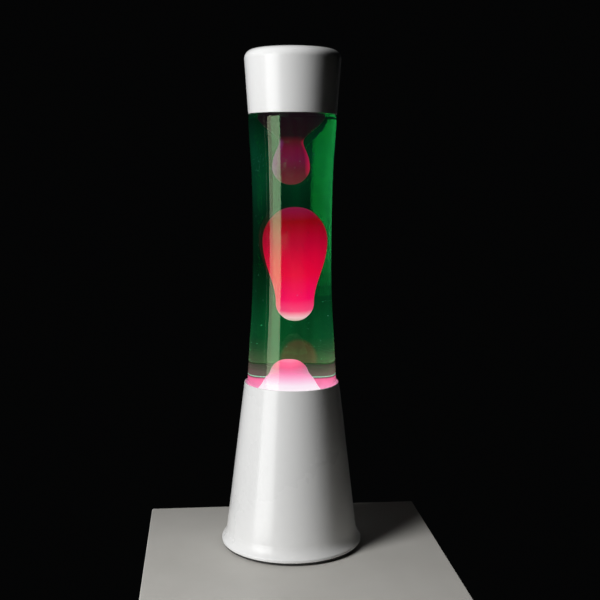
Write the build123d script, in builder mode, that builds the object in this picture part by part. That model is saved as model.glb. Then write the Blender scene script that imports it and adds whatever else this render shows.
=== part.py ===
"""Lava lamp: a waisted glass bottle of green liquid and wax on a spun metal base, with a metal cap."""

import os
from math import cos, radians, sin, tan

from build123d import *

# Millimetres throughout. Z is up, the table is Z = 0 and the lamp stands on the Z axis.
# The cord comes in at the back, which is +Y.

# The whole lamp
foot_radius = 57.0
feet_height = 1.2
sheet = 1.0
mouth_height = 134.0
heel_radius = 36.0
mouth_gap = 1.1

# Base shell: a lip, a short flare, then a straight cone up to the mouth
plate_thickness = 1.4
lip_height = 2.4
flare_height = 9.0
flare_reach = 4.2
cone_foot_radius = foot_radius - flare_reach
mouth_radius = heel_radius + mouth_gap + sheet
flange_width = 9.0
flange_radius = foot_radius - flange_width
edge_round = 0.45
shell_bottom = feet_height + plate_thickness
lip_top = shell_bottom + lip_height
cone_foot = lip_top + flare_height

# Bottom plate, its feet and its screws
plate_inset = 0.8
vent_circle = 34.0
vent_radius = 2.5
vent_count = 15
foot_inset = 13.0
foot_circle = foot_radius - foot_inset
foot_disc_radius = 5.0
foot_stem_radius = 2.0
foot_knob_radius = 2.8
foot_knob_height = 1.8
plate_screw_inset = 5.5
plate_screw_circle = foot_radius - plate_screw_inset
plate_screw_radius = 1.45
plate_screw_head_radius = 2.6
plate_screw_head_height = 1.2
plate_screw_tip = shell_bottom + 4.2

# Seat for the bottle, hung inside the mouth
seat_depth = 14.0
seat_ring_top = mouth_height - seat_depth
seat_ring_skirt = 8.0
seat_ring_hole = heel_radius - 9.0
seat_ring_sheet = 0.8
pad_height = 2.0
pad_inner_radius = heel_radius - 6.5
pad_outer_radius = heel_radius - 1.0
pad_arc = 60.0
seat_vent_circle = heel_radius - 4.0
seat_vent_radius = 1.8
bottle_foot = seat_ring_top + pad_height

# Bottle outside: heel, waist and shoulder, with heights counted from its foot
glass_wall = 3.0
heel_round = 3.0
foot_ring_radius = heel_radius - 8.0
punt_rise = 3.0
lower_radius, lower_height = 34.4, bottle_foot + 37.0
low_waist_radius, low_waist_height = 31.9, bottle_foot + 78.0
waist_radius, waist_height = 31.2, bottle_foot + 123.0
high_waist_radius, high_waist_height = 32.0, bottle_foot + 176.0
shoulder_radius, shoulder_height = 34.5, bottle_foot + 221.0
shoulder_bend = 4.0
shoulder_turn = 60.0
neck_radius = 12.2
neck_bend = 4.0
finish_bead = 1.1
finish_radius = neck_radius + finish_bead
finish_height = 7.4
finish_top = bottle_foot + 255.4

# Bottle inside: a thick floor with a rounded corner
floor_thickness = 5.0
floor_height = bottle_foot + floor_thickness
floor_round = 4.0
liquid_level = bottle_foot + 226.4

# Wax: a pool with a mound in its front half, a rising blob and a drop hanging from the top
pool_top = bottle_foot + 20.4
mound_x, mound_y = -1.8, -14.0
mound_top = bottle_foot + 33.1
mound_waist_radius, mound_waist_height = 13.2, bottle_foot + 23.7
mound_foot_radius, mound_foot_height = 18.0, bottle_foot + 11.8
blob_offset = 1.7
blob_bottom = bottle_foot + 62.0
blob_tail_radius, blob_tail_height = 11.4, bottle_foot + 76.0
blob_neck_radius, blob_neck_height = 13.2, bottle_foot + 91.0
blob_radius, blob_height = 19.3, bottle_foot + 125.5
blob_top = bottle_foot + 152.5
drop_offset = -0.8
drop_bottom = bottle_foot + 170.0
drop_radius, drop_height = 11.1, bottle_foot + 183.5
drop_neck_radius, drop_neck_height = 7.4, bottle_foot + 204.5
drop_top_radius, drop_top_height = 20.0, bottle_foot + 221.0
drop_top = bottle_foot + 226.0
channel_gap = 0.6
channel_radius = max(blob_radius + blob_offset, drop_top_radius - drop_offset) + channel_gap

# Crown closure of the bottle
liner_thickness = 0.6
crown_sheet = 0.4
crown_flare = 2.3
crown_skirt_radius = finish_radius + crown_flare
crown_skirt_height = 6.2
crown_ridges = 21
crown_ridge_radius = 0.5

# Top cap, which rests on the bottle's shoulder
cap_height = 49.0
cap_drop = 3.0
cap_overhang = 0.1
cap_flare = 3.5
cap_rim_height = shoulder_height + cap_drop
cap_rim_radius = shoulder_radius + cap_overhang
cap_corner_radius = cap_rim_radius + cap_flare
overall_height = cap_rim_height + cap_height
cap_edge_radius = 7.0
cap_sheet = 0.9
cap_ring_inner_radius = cap_rim_radius - 6.6
cap_ring_top = cap_rim_height + 7.0
cap_ring_edge = cap_rim_height + 2.0
cap_seat_gap = 0.1

# Reflector bulb with a small Edison screw, hung below the bottle's foot
bulb_gap = 14.0
bulb_length = 66.0
bulb_tip = bottle_foot - bulb_gap - bulb_length
bulb_radius = 19.5
bulb_glass_wall = 0.8
bulb_collar = 25.0
thread_pitch = 2.82
thread_radius = 6.95
thread_depth = 0.8
thread_start = bulb_tip + 5.2
thread_turns = 5
thread_steps = 6
thread_clearance = 0.3
bulb_neck_radius = thread_radius + 1.25
stem_top = bulb_tip + 42.5
filament_wire = 0.35
filament_half_width = 6.5
filament_height = bulb_tip + 51.0

# Lamp holder, its heights counted from the bulb's tip, on its bracket
shell_wall = 1.05
shell_radius = thread_radius + shell_wall
shell_top = bulb_tip + 20.0
web_top = bulb_tip - 6.0
web_thickness = 6.0
chamber_top = web_top - web_thickness
chamber_radius = shell_radius + 2.0
holder_counterbore = shell_radius + 2.2
holder_counterbore_bottom = bulb_tip + 15.0
holder_wall = 3.3
holder_radius = holder_counterbore + holder_wall
holder_top = bulb_tip + 24.0
bracket_top = chamber_top - 14.0
bracket_sheet = 1.5
bracket_disc_radius = holder_radius + bracket_sheet
bracket_width = 12.0
bracket_foot_length = 13.0
bracket_reach = bracket_disc_radius + bracket_foot_length
bracket_hole = chamber_radius - 1.0
rivet_radius = 1.6
rivet_head_radius = 2.6
rivet_head_height = 0.8
rivet_x = bracket_disc_radius + 7.5
contact_radius = 3.4
contact_post_radius = 1.2
contact_gap = 0.1
terminal_pitch = 6.4
terminal_width = 4.4
terminal_depth = 6.0
terminal_height = 8.0
terminal_post_radius = 1.0
holder_screw_circle = (chamber_radius + holder_radius) / 2
holder_screw_radius = 1.0
holder_screw_tip = bracket_top + 7.0

# Terminal block behind the bracket, its fittings and the two leads
block_front = 28.0
block_length = 14.0
block_back = block_front + block_length
block_height = 12.0
block_side = 4.2
ear_reach = 5.0
ear_height = 2.4
ear_length = 6.0
ear_screw_radius = 1.2
barrel_radius = 1.9
barrel_bore = 1.25
lead_radius = 1.1
clamp_screw_radius = 1.0
clamp_screw_inset = 3.4
lead_height = shell_bottom + block_height / 2
lead_end_height = chamber_top - 4.0
lead_tail = 12.0

# Cord gland in the back of the base, a little more of it inside the wall than outside
gland_height = 24.0
gland_bore = 3.2
gland_neck_radius = 4.6
gland_flange_radius = 6.4
gland_proud = 3.425
gland_inside = 3.575


def cone_radius(height):
    """Outside radius of the base's cone at a height."""
    rise = (height - cone_foot) / (mouth_height - cone_foot)
    return cone_foot_radius + (mouth_radius - cone_foot_radius) * rise


def ring_edges(shape, radius, height):
    """Edges of a turned shape that are full rings of this radius at this height."""
    rings = shape.edges().filter_by(GeomType.CIRCLE)
    return [
        ring
        for ring in rings
        if abs(ring.radius - radius) < 0.01 and abs(ring.arc_center.Z - height) < 0.01
    ]


def base_outline(inset):
    """Half section of the base's outside, drawn smaller by the inset."""
    lip_x = foot_radius - inset
    cone_x = cone_foot_radius - inset
    mouth_x = mouth_radius - inset
    floor = shell_bottom + inset
    slope = (cone_foot_radius - mouth_radius, cone_foot - mouth_height)
    Polyline((0, mouth_height), (0, floor), (lip_x, floor), (lip_x, lip_top))
    TangentArc((cone_x, cone_foot), (lip_x, lip_top), tangent=slope)
    Polyline((cone_x, cone_foot), (mouth_x, mouth_height), (0, mouth_height))


def glass_line(inset, foot):
    """Wall, shoulder and neck of the bottle from a foot height up, moved in by the inset."""
    stations = [
        (heel_radius - inset, foot),
        (lower_radius - inset, lower_height),
        (low_waist_radius - inset, low_waist_height),
        (waist_radius - inset, waist_height),
        (high_waist_radius - inset, high_waist_height),
        (shoulder_radius - inset, shoulder_height),
    ]
    Spline(*stations, tangents=[(0, 1), (0, 1)])
    bend = shoulder_bend - inset
    centre = shoulder_radius - shoulder_bend
    turn = radians(shoulder_turn)
    bend_end = (centre + bend * cos(turn), shoulder_height + bend * sin(turn))
    TangentArc((shoulder_radius - inset, shoulder_height), bend_end, tangent=(0, 1))
    neck_x = neck_radius - inset
    corner = bend_end[1] + (bend_end[0] - neck_x) / tan(turn)
    FilletPolyline(bend_end, (neck_x, corner), (neck_x, finish_top), radius=neck_bend + inset)


def shoulder_z(radius):
    """Height of the outside of the bottle's sloping shoulder at a radius."""
    turn = radians(shoulder_turn)
    start_x = shoulder_radius - shoulder_bend + shoulder_bend * cos(turn)
    start_z = shoulder_height + shoulder_bend * sin(turn)
    return start_z + (start_x - radius) / tan(turn)


def cap_side(height):
    """Outside radius of the cap's sloping side at a height."""
    rise = (height - cap_rim_height) / (overall_height - cap_rim_height)
    return cap_rim_radius + (cap_corner_radius - cap_rim_radius) * rise


def cap_outline(inset):
    """Half section of the cap's outside, drawn smaller by the inset."""
    top = overall_height - inset
    corner = (cap_side(top) - inset, top)
    rim = (cap_rim_radius - inset, cap_rim_height)
    FilletPolyline(rim, corner, (0, top), radius=cap_edge_radius - inset)
    Polyline((0, top), (0, cap_rim_height), rim)


def round_end(radius, height, end):
    """Rounded curve that closes a wax shape from its side at a height to its end on the axis."""
    depth = end - height
    middle = (radius * cos(radians(45)), height + depth * sin(radians(45)))
    Spline((radius, height), middle, (0, end), tangents=[(0, depth), (-radius, 0)])


def thread_points(crest):
    """Points up a rounded thread profile, from one crest to another."""
    middle = crest - thread_depth / 2
    return [
        (
            middle + thread_depth / 2 * cos(radians(360 * step / thread_steps)),
            thread_start + thread_pitch * step / thread_steps,
        )
        for step in range(thread_turns * thread_steps + 1)
    ]


# ---------------------------------------------------------------- base

back_plane = Plane(origin=(0, 0, gland_height), x_dir=(-1, 0, 0), z_dir=(0, 1, 0))
gland_outer_y = cone_radius(gland_height) + gland_proud
gland_inner_y = cone_radius(gland_height) - gland_inside

with BuildPart() as base_shell:
    with BuildSketch(Plane.XZ):
        with BuildLine():
            base_outline(0)
        make_face()
        with BuildLine():
            base_outline(sheet)
        make_face(mode=Mode.SUBTRACT)
    revolve(axis=Axis.Z)
    with BuildSketch(Plane.XY.offset(shell_bottom)):
        Circle(flange_radius)
    extrude(amount=sheet, mode=Mode.SUBTRACT)
    fillet(ring_edges(base_shell, foot_radius, lip_top), 1.0)
    fillet(ring_edges(base_shell, foot_radius, shell_bottom), 0.8)
    fillet(ring_edges(base_shell, mouth_radius, mouth_height), edge_round)
    fillet(ring_edges(base_shell, mouth_radius - sheet, mouth_height), edge_round)
    with BuildSketch(Plane.XY.offset(shell_bottom)):
        with PolarLocations(plate_screw_circle, 4):
            Circle(plate_screw_radius)
    extrude(amount=sheet, mode=Mode.SUBTRACT)
    with BuildSketch(back_plane.offset(gland_inner_y)):
        Circle(gland_neck_radius)
    extrude(amount=gland_outer_y - gland_inner_y, mode=Mode.SUBTRACT)

with BuildPart() as cord_gland:
    with BuildSketch(back_plane.offset(gland_inner_y)):
        Circle(gland_flange_radius)
    extrude(amount=gland_outer_y - gland_inner_y)
    fillet(cord_gland.faces().sort_by(Axis.Y)[-1].edges(), 1.2)
    add(base_shell.part, mode=Mode.SUBTRACT)
    with BuildSketch(back_plane.offset(gland_inner_y)):
        Circle(gland_bore)
    extrude(amount=gland_outer_y - gland_inner_y, mode=Mode.SUBTRACT)

with BuildPart() as bottom_plate:
    with BuildSketch(Plane.XY.offset(feet_height)):
        Circle(foot_radius - plate_inset)
    extrude(amount=plate_thickness)
    fillet(ring_edges(bottom_plate, foot_radius - plate_inset, feet_height), edge_round)
    with BuildSketch(Plane.XY.offset(feet_height)):
        with PolarLocations(vent_circle, vent_count, 130, 280, endpoint=True):
            Circle(vent_radius)
        with PolarLocations(foot_circle, 4, start_angle=45):
            Circle(foot_stem_radius)
        with Locations((-rivet_x, 0), (rivet_x, 0)):
            Circle(rivet_radius)
        with Locations(
            (-block_side - ear_reach / 2, (block_front + block_back) / 2),
            (terminal_pitch + block_side + ear_reach / 2, (block_front + block_back) / 2),
        ):
            Circle(ear_screw_radius)
    extrude(amount=plate_thickness, mode=Mode.SUBTRACT)
    with PolarLocations(plate_screw_circle, 4):
        with Locations((0, 0, feet_height)):
            Cone(
                plate_screw_head_radius,
                plate_screw_radius,
                plate_screw_head_height,
                align=(Align.CENTER, Align.CENTER, Align.MIN),
                mode=Mode.SUBTRACT,
            )
            Cylinder(
                plate_screw_radius,
                plate_thickness,
                align=(Align.CENTER, Align.CENTER, Align.MIN),
                mode=Mode.SUBTRACT,
            )

with BuildPart() as plate_screws:
    with PolarLocations(plate_screw_circle, 4):
        with Locations((0, 0, feet_height)):
            Cone(
                plate_screw_head_radius,
                plate_screw_radius,
                plate_screw_head_height,
                align=(Align.CENTER, Align.CENTER, Align.MIN),
            )
            Cylinder(
                plate_screw_radius,
                plate_screw_tip - feet_height,
                align=(Align.CENTER, Align.CENTER, Align.MIN),
            )
            Box(
                3.2,
                0.6,
                0.6,
                align=(Align.CENTER, Align.CENTER, Align.MIN),
                mode=Mode.SUBTRACT,
            )
            Box(
                0.6,
                3.2,
                0.6,
                align=(Align.CENTER, Align.CENTER, Align.MIN),
                mode=Mode.SUBTRACT,
            )

with BuildPart() as rubber_feet:
    with BuildSketch() as foot_discs:
        with PolarLocations(foot_circle, 4, start_angle=45):
            Circle(foot_disc_radius)
    extrude(amount=feet_height)
    with BuildSketch(Plane.XY.offset(feet_height)):
        with PolarLocations(foot_circle, 4, start_angle=45):
            Circle(foot_stem_radius)
    extrude(amount=plate_thickness)
    with BuildSketch(Plane.XY.offset(shell_bottom)):
        with PolarLocations(foot_circle, 4, start_angle=45):
            Circle(foot_knob_radius)
    extrude(amount=foot_knob_height, taper=20)

with BuildPart() as seat_ring:
    skirt_foot = seat_ring_top - seat_ring_skirt
    with BuildSketch(Plane.XZ):
        with BuildLine():
            Polyline(
                (seat_ring_hole, seat_ring_top),
                (seat_ring_hole, seat_ring_top - seat_ring_sheet),
                (
                    cone_radius(seat_ring_top - seat_ring_sheet) - sheet - seat_ring_sheet,
                    seat_ring_top - seat_ring_sheet,
                ),
                (cone_radius(skirt_foot) - sheet - seat_ring_sheet, skirt_foot),
                (cone_radius(skirt_foot) - sheet, skirt_foot),
                (cone_radius(seat_ring_top) - sheet, seat_ring_top),
                close=True,
            )
        make_face()
    revolve(axis=Axis.Z)
    with BuildSketch(Plane.XY.offset(seat_ring_top - seat_ring_sheet)):
        for turn in (0, 120, 240):
            with PolarLocations(
                seat_vent_circle, 4, start_angle=turn + 39, angular_range=42, endpoint=True
            ):
                Circle(seat_vent_radius)
    extrude(amount=seat_ring_sheet, mode=Mode.SUBTRACT)

with BuildPart() as seat_pads:
    pad_start = Plane.XZ.rotated((0, 0, -pad_arc / 2))
    with BuildSketch(pad_start):
        with BuildLine():
            Polyline(
                (pad_inner_radius, seat_ring_top),
                (pad_outer_radius, seat_ring_top),
                (pad_outer_radius, bottle_foot),
                (pad_inner_radius, bottle_foot),
                close=True,
            )
        make_face()
    revolve(axis=Axis.Z, revolution_arc=pad_arc)
    one_pad = seat_pads.part
    for turn in (120, 240):
        add(one_pad.rotate(Axis.Z, turn))

# ---------------------------------------------------------------- lamp holder

with BuildPart() as holder_bracket:
    leg_out = bracket_disc_radius
    leg_in = bracket_disc_radius - bracket_sheet
    foot_top = shell_bottom + bracket_sheet
    underside = bracket_top - bracket_sheet
    with BuildSketch(Plane.XZ.offset(-bracket_width / 2)) as hat:
        with BuildLine():
            Polyline(
                (-bracket_reach, shell_bottom),
                (-leg_in, shell_bottom),
                (-leg_in, underside),
                (leg_in, underside),
                (leg_in, shell_bottom),
                (bracket_reach, shell_bottom),
                (bracket_reach, foot_top),
                (leg_out, foot_top),
                (leg_out, bracket_top),
                (-leg_out, bracket_top),
                (-leg_out, foot_top),
                (-bracket_reach, foot_top),
                close=True,
            )
        make_face()
    extrude(amount=bracket_width)
    with BuildSketch(Plane.XY.offset(underside)):
        Circle(bracket_disc_radius)
    extrude(amount=bracket_sheet)
    with BuildSketch(Plane.XY.offset(underside)):
        Circle(bracket_hole)
        with Locations((-holder_screw_circle, 0), (holder_screw_circle, 0)):
            Circle(holder_screw_radius)
    extrude(amount=bracket_sheet, mode=Mode.SUBTRACT)
    with BuildSketch(Plane.XY.offset(shell_bottom)):
        with Locations((-rivet_x, 0), (rivet_x, 0)):
            Circle(rivet_radius)
    extrude(amount=bracket_sheet, mode=Mode.SUBTRACT)

with BuildPart() as bracket_rivets:
    rivet_span = plate_thickness + bracket_sheet
    with Locations((-rivet_x, 0, feet_height), (rivet_x, 0, feet_height)):
        Cylinder(rivet_radius, rivet_span, align=(Align.CENTER, Align.CENTER, Align.MIN))
    with Locations((-rivet_x, 0, feet_height), (rivet_x, 0, feet_height)):
        Cylinder(
            rivet_head_radius, rivet_head_height, align=(Align.CENTER, Align.CENTER, Align.MAX)
        )
    head_seat = feet_height + rivet_span
    with Locations((-rivet_x, 0, head_seat), (rivet_x, 0, head_seat)):
        Cylinder(
            rivet_head_radius, rivet_head_height, align=(Align.CENTER, Align.CENTER, Align.MIN)
        )
    fillet(bracket_rivets.edges().group_by(Axis.Z)[-1], 0.5)
    fillet(bracket_rivets.edges().group_by(Axis.Z)[0], 0.5)

with BuildPart() as lamp_holder:
    with BuildSketch(Plane.XY.offset(bracket_top)):
        Circle(holder_radius)
    extrude(amount=holder_top - bracket_top)
    fillet(lamp_holder.edges().group_by(Axis.Z)[-1], 1.2)
    with BuildSketch(Plane.XY.offset(bracket_top)):
        Circle(chamber_radius)
    extrude(amount=chamber_top - bracket_top, mode=Mode.SUBTRACT)
    with BuildSketch(Plane.XY.offset(web_top)):
        Circle(shell_radius)
    extrude(amount=holder_top - web_top, mode=Mode.SUBTRACT)
    with BuildSketch(Plane.XY.offset(holder_counterbore_bottom)):
        Circle(holder_counterbore)
    extrude(amount=holder_top - holder_counterbore_bottom, mode=Mode.SUBTRACT)
    with BuildSketch(Plane.XY.offset(chamber_top)):
        Circle(contact_post_radius)
        with Locations((terminal_pitch, 0)):
            Circle(terminal_post_radius)
    extrude(amount=web_top - chamber_top, mode=Mode.SUBTRACT)
    with BuildSketch(Plane.XY.offset(bracket_top)):
        with Locations((-holder_screw_circle, 0), (holder_screw_circle, 0)):
            Circle(holder_screw_radius)
    extrude(amount=holder_screw_tip - bracket_top, mode=Mode.SUBTRACT)

with BuildPart() as holder_screws:
    underside = bracket_top - bracket_sheet
    spots = [(-holder_screw_circle, 0, underside), (holder_screw_circle, 0, underside)]
    with Locations(*spots):
        Cylinder(
            holder_screw_radius,
            holder_screw_tip - underside,
            align=(Align.CENTER, Align.CENTER, Align.MIN),
        )
    with Locations(*spots):
        Cylinder(1.6, 1.2, align=(Align.CENTER, Align.CENTER, Align.MAX))
    fillet(holder_screws.edges().group_by(Axis.Z)[0], 0.5)

with BuildPart() as holder_screw_shell:
    groove = thread_radius + thread_clearance
    profile = thread_points(groove)
    with BuildSketch(Plane.XZ):
        with BuildLine():
            Polyline(
                *profile,
                (groove, shell_top),
                (shell_radius, shell_top),
                (shell_radius, web_top),
                (shell_radius - contact_radius, web_top),
                (shell_radius - contact_radius, web_top + sheet),
                (groove, web_top + sheet),
                close=True,
            )
        make_face()
    revolve(axis=Axis.Z)

with BuildPart() as holder_contact:
    with BuildSketch(Plane.XZ):
        with BuildLine():
            top = bulb_tip - contact_gap
            Polyline(
                (0, chamber_top),
                (contact_post_radius, chamber_top),
                (contact_post_radius, web_top),
                (contact_radius, web_top),
                (contact_radius, web_top + 0.8),
                (contact_radius - 1.0, web_top + 2.6),
                (contact_radius - 1.0, top - 0.5),
                (contact_radius - 1.8, top),
                (0, top),
                close=True,
            )
        make_face()
    revolve(axis=Axis.Z)

with BuildPart() as holder_terminals:
    with Locations((0, 0, chamber_top), (terminal_pitch, 0, chamber_top)):
        Box(
            terminal_width,
            terminal_depth,
            terminal_height,
            align=(Align.CENTER, Align.CENTER, Align.MAX),
        )
    with BuildSketch(Plane.XY.offset(chamber_top - terminal_height)):
        Circle(lead_radius)
        with Locations((terminal_pitch, 0)):
            Circle(lead_radius)
    extrude(amount=lead_end_height - chamber_top + terminal_height, mode=Mode.SUBTRACT)
    with BuildSketch(Plane.XY.offset(chamber_top)):
        with Locations((terminal_pitch, 0)):
            Circle(terminal_post_radius)
    extrude(amount=web_top - chamber_top)

# ---------------------------------------------------------------- wiring

block_left = -block_side
block_right = terminal_pitch + block_side
block_middle = (block_front + block_back) / 2
ear_spots = [(block_left - ear_reach / 2, block_middle), (block_right + ear_reach / 2, block_middle)]
barrel_plane = Plane(origin=(0, 0, lead_height), x_dir=(-1, 0, 0), z_dir=(0, 1, 0))
clamp_spots = [
    (x, y)
    for x in (0, terminal_pitch)
    for y in (block_front + clamp_screw_inset, block_back - clamp_screw_inset)
]

with BuildPart() as terminal_block:
    with BuildSketch(Plane.XY.offset(shell_bottom)):
        with Locations((terminal_pitch / 2, block_middle)):
            Rectangle(block_right - block_left, block_back - block_front)
    extrude(amount=block_height)
    fillet(terminal_block.edges().group_by(Axis.Z)[-1], 1.0)
    with BuildSketch(Plane.XY.offset(shell_bottom)):
        with Locations((terminal_pitch / 2, block_middle)):
            Rectangle(block_right - block_left + 2 * ear_reach, ear_length)
    extrude(amount=ear_height)
    with BuildSketch(Plane.XY.offset(shell_bottom)):
        with Locations(*ear_spots):
            Circle(ear_screw_radius)
    extrude(amount=ear_height, mode=Mode.SUBTRACT)
    with BuildSketch(barrel_plane.offset(block_front)):
        with Locations((0, 0), (-terminal_pitch, 0)):
            Circle(barrel_radius)
    extrude(amount=block_back - block_front, mode=Mode.SUBTRACT)
    with BuildSketch(Plane.XY.offset(lead_height)):
        with Locations(*clamp_spots):
            Circle(clamp_screw_radius + 0.5)
    extrude(amount=block_height / 2, mode=Mode.SUBTRACT)

with BuildPart() as terminal_barrels:
    with BuildSketch(barrel_plane.offset(block_front)):
        with Locations((0, 0), (-terminal_pitch, 0)):
            Circle(barrel_radius)
            Circle(barrel_bore, mode=Mode.SUBTRACT)
    extrude(amount=block_back - block_front)
    with BuildSketch(Plane.XY.offset(lead_height)):
        with Locations(*clamp_spots):
            Circle(clamp_screw_radius)
    extrude(amount=barrel_radius, mode=Mode.SUBTRACT)

with BuildPart() as terminal_screws:
    with BuildSketch(Plane.XY.offset(lead_height + lead_radius)):
        with Locations(*clamp_spots):
            Circle(clamp_screw_radius)
    extrude(amount=block_height / 2 - lead_radius - 0.8)
    with BuildSketch(Plane.XY.offset(shell_bottom + block_height - 1.3)):
        with Locations(*clamp_spots):
            Rectangle(2 * clamp_screw_radius, 0.5)
    extrude(amount=0.5, mode=Mode.SUBTRACT)

with BuildPart() as block_screws:
    ear_top = shell_bottom + ear_height
    with BuildSketch(Plane.XY.offset(feet_height)):
        with Locations(*ear_spots):
            Circle(ear_screw_radius)
    extrude(amount=ear_top - feet_height)
    with BuildSketch(Plane.XY.offset(ear_top)):
        with Locations(*ear_spots):
            Circle(ear_screw_radius + 0.9)
    extrude(amount=1.4, taper=15)
    with BuildSketch(Plane.XY.offset(ear_top + 0.8)):
        with Locations(*ear_spots):
            Rectangle(5.0, 0.5)
    extrude(amount=0.6, mode=Mode.SUBTRACT)


def lead_path(x):
    """Run of one lead from its barrel, under the bracket and up into its terminal."""
    rise = lead_end_height - lead_height
    return FilletPolyline(
        (x, block_front + lead_tail, lead_height),
        (x, 0, lead_height),
        (x, 0, lead_end_height),
        radius=0.45 * rise,
    )


with BuildPart() as live_lead:
    with BuildLine():
        lead_path(0)
    with BuildSketch(barrel_plane.offset(block_front + lead_tail)):
        Circle(lead_radius)
    sweep()

with BuildPart() as neutral_lead:
    with BuildLine():
        lead_path(terminal_pitch)
    with BuildSketch(barrel_plane.offset(block_front + lead_tail)):
        with Locations((-terminal_pitch, 0)):
            Circle(lead_radius)
    sweep()

# ---------------------------------------------------------------- bulb

cap_bottom = bulb_tip + 4.2
collar_foot = bulb_tip + bulb_collar - 2.0
collar_top = bulb_tip + bulb_collar
bulb_top = bulb_tip + bulb_length
widest = bulb_top - 10.0

with BuildPart() as bulb_tip_contact:
    with BuildSketch(Plane.XZ):
        with BuildLine():
            ThreePointArc((0, bulb_tip), (1.7, bulb_tip + 0.5), (2.4, bulb_tip + 1.4))
            Polyline((2.4, bulb_tip + 1.4), (0, bulb_tip + 1.4), (0, bulb_tip))
        make_face()
    revolve(axis=Axis.Z)

with BuildPart() as bulb_insulator:
    with BuildSketch(Plane.XZ):
        with BuildLine():
            Polyline(
                (0, bulb_tip + 1.4),
                (2.8, bulb_tip + 1.4),
                (thread_radius - 1.05, cap_bottom),
                (3.2, cap_bottom),
                (3.2, cap_bottom + 1.6),
                (0, cap_bottom + 1.6),
                close=True,
            )
        make_face()
    revolve(axis=Axis.Z)

with BuildPart() as bulb_cap:
    profile = thread_points(thread_radius)
    with BuildSketch(Plane.XZ):
        with BuildLine():
            Polyline(
                *profile,
                (thread_radius - 0.2, shell_top + 0.4),
                (bulb_neck_radius + 0.4, collar_foot),
                (bulb_neck_radius + 0.4, collar_top),
                (bulb_neck_radius, collar_top),
                (bulb_neck_radius, collar_foot + 0.3),
                (thread_radius - 1.35, shell_top - 0.6),
                (thread_radius - 1.35, cap_bottom + 0.6),
                (3.2, cap_bottom + 0.6),
                (3.2, cap_bottom),
                (thread_radius - 0.65, cap_bottom),
                close=True,
            )
        make_face()
    revolve(axis=Axis.Z)

with BuildPart() as bulb_glass:
    inner = bulb_radius - bulb_glass_wall
    neck_in = bulb_neck_radius - bulb_glass_wall
    with BuildSketch(Plane.XZ):
        with BuildLine():
            Spline(
                (bulb_neck_radius, collar_top),
                (0.62 * bulb_radius, collar_top + 0.33 * (widest - collar_top)),
                (bulb_radius, widest),
                tangents=[(0, 1), (0, 1)],
            )
            Spline(
                (neck_in, collar_top),
                (0.62 * bulb_radius - bulb_glass_wall, collar_top + 0.34 * (widest - collar_top)),
                (inner, widest),
                tangents=[(0, 1), (0, 1)],
            )
            Spline((bulb_radius, widest), (0, bulb_top), tangents=[(0, 1), (-1, 0)])
            Spline(
                (inner, widest), (0, bulb_top - bulb_glass_wall), tangents=[(0, 1), (-1, 0)]
            )
            Line((0, bulb_top - bulb_glass_wall), (0, bulb_top))
            Polyline(
                (bulb_neck_radius, collar_top),
                (bulb_neck_radius, collar_foot + 0.3),
                (neck_in, collar_foot + 0.3),
                (neck_in, collar_top),
            )
        make_face()
    revolve(axis=Axis.Z)

with BuildPart() as bulb_stem:
    with BuildSketch(Plane.XZ):
        with BuildLine():
            Polyline(
                (0, collar_foot + 0.4),
                (neck_in, collar_foot + 0.4),
                (neck_in, collar_foot + 1.2),
                (3.4, collar_foot + 3.2),
                (2.6, stem_top - 1.0),
                (2.6, stem_top),
                (0, stem_top),
                close=True,
            )
        make_face()
    revolve(axis=Axis.Z)

with BuildPart() as bulb_filament:
    with BuildLine():
        FilletPolyline(
            (-1.6, 0, stem_top),
            (-1.6, 0, stem_top + 2.0),
            (-filament_half_width, 0, filament_height),
            (0, 0, filament_height + 2.0),
            (filament_half_width, 0, filament_height),
            (1.6, 0, stem_top + 2.0),
            (1.6, 0, stem_top),
            radius=0.8,
        )
    with BuildSketch(Plane.XY.offset(stem_top)):
        with Locations((-1.6, 0)):
            Circle(filament_wire)
    sweep()

# ---------------------------------------------------------------- bottle

with BuildPart() as cavity:
    inner_heel = heel_radius - glass_wall
    with BuildSketch(Plane.XZ):
        with BuildLine():
            glass_line(glass_wall, floor_height + floor_round)
            TangentArc(
                (inner_heel - floor_round, floor_height),
                (inner_heel, floor_height + floor_round),
                tangent=(1, 0),
            )
            Polyline(
                (inner_heel - floor_round, floor_height),
                (0, floor_height),
                (0, finish_top),
                (neck_radius - glass_wall, finish_top),
            )
        make_face()
    revolve(axis=Axis.Z)

with BuildPart() as glass_bottle:
    with BuildSketch(Plane.XZ):
        with BuildLine():
            glass_line(0, bottle_foot + heel_round)
            TangentArc(
                (heel_radius - heel_round, bottle_foot),
                (heel_radius, bottle_foot + heel_round),
                tangent=(1, 0),
            )
            Line((foot_ring_radius, bottle_foot), (heel_radius - heel_round, bottle_foot))
            TangentArc(
                (0, bottle_foot + punt_rise), (foot_ring_radius, bottle_foot), tangent=(1, 0)
            )
            Polyline(
                (0, bottle_foot + punt_rise), (0, finish_top), (neck_radius, finish_top)
            )
        make_face()
    revolve(axis=Axis.Z)
    with BuildSketch(Plane.XY.offset(finish_top - finish_height)):
        Circle(finish_radius)
    extrude(amount=finish_height)
    fillet(ring_edges(glass_bottle, finish_radius, finish_top), 1.2)
    fillet(ring_edges(glass_bottle, finish_radius, finish_top - finish_height), 0.8)
    add(cavity.part, mode=Mode.SUBTRACT)

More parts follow.
